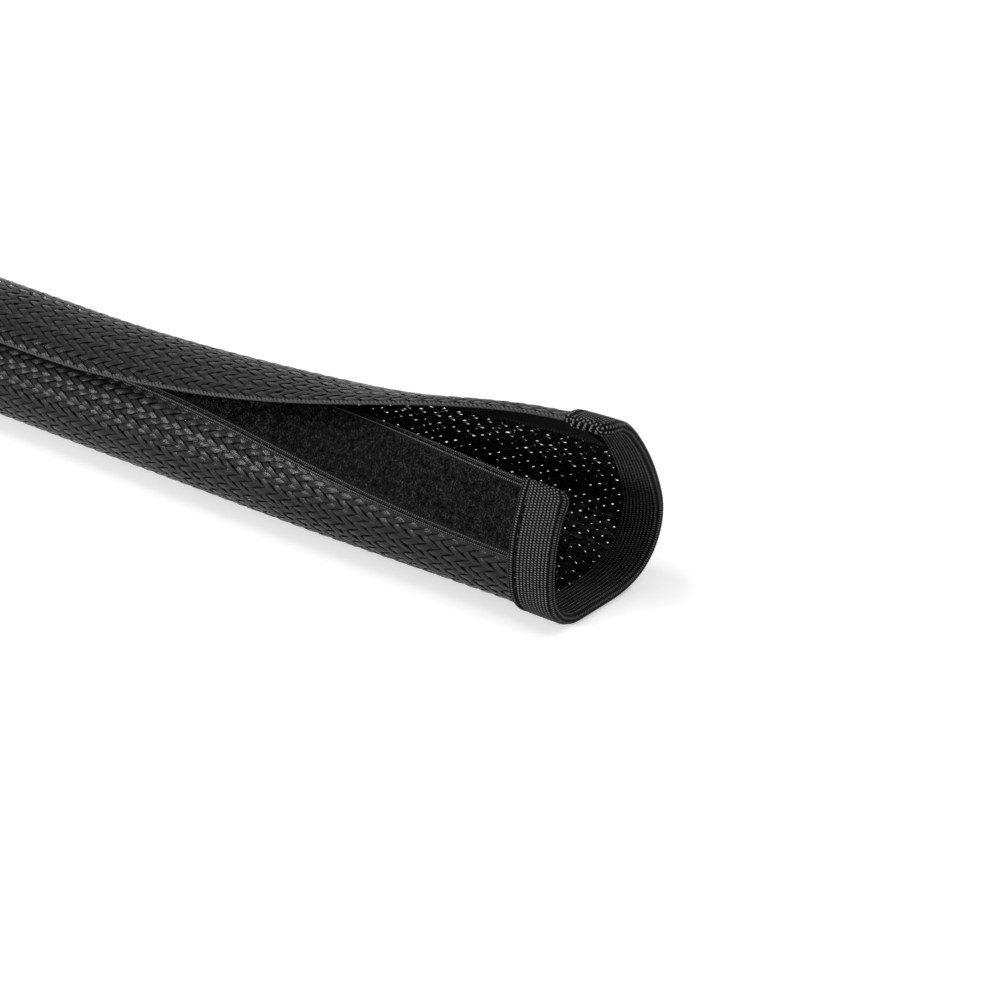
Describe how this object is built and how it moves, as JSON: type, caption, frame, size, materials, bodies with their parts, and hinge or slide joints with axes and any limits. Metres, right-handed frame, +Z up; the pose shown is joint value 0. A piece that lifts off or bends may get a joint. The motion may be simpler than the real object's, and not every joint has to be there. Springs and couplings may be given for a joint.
{
  "type": "hook and loop braided sleeve",
  "caption": "Braided cable sleeve split along its length, closed by a hook strip lapped over a loop strip, with bound ends, one end peeled open.",
  "frame": {"origin": "middle of the underside of the sleeve's bounding box, on the surface it lies on", "axes": "+X along the sleeve towards the opened mouth, +Z up, -Y the side of the near flap with the loop strip"},
  "size_m": [0.5, 0.05, 0.049],
  "materials": {
    "braid": "black flat polyester strands, braided, satin to glossy along the filaments",
    "loop_pile": "matt black looped pile between ribbed woven selvedges",
    "hook_tape": "black woven tape set with fine stiff hooks",
    "binding": "black ribbed woven binding tape, matt",
    "thread": "black twisted sewing thread, satin"
  },
  "bodies": {
    "root": {"braided_wall": "braid", "loop_strip": "loop_pile", "hook_strip": "hook_tape", "mouth_binding": "binding", "rear_binding": "binding", "loop_strip_upper_seam_thread": "thread", "loop_strip_lower_seam_thread": "thread", "hook_strip_upper_seam_thread": "thread", "hook_strip_lower_seam_thread": "thread", "mouth_binding_seam_thread": "thread", "rear_binding_seam_thread": "thread"}
  },
  "joints": []
}
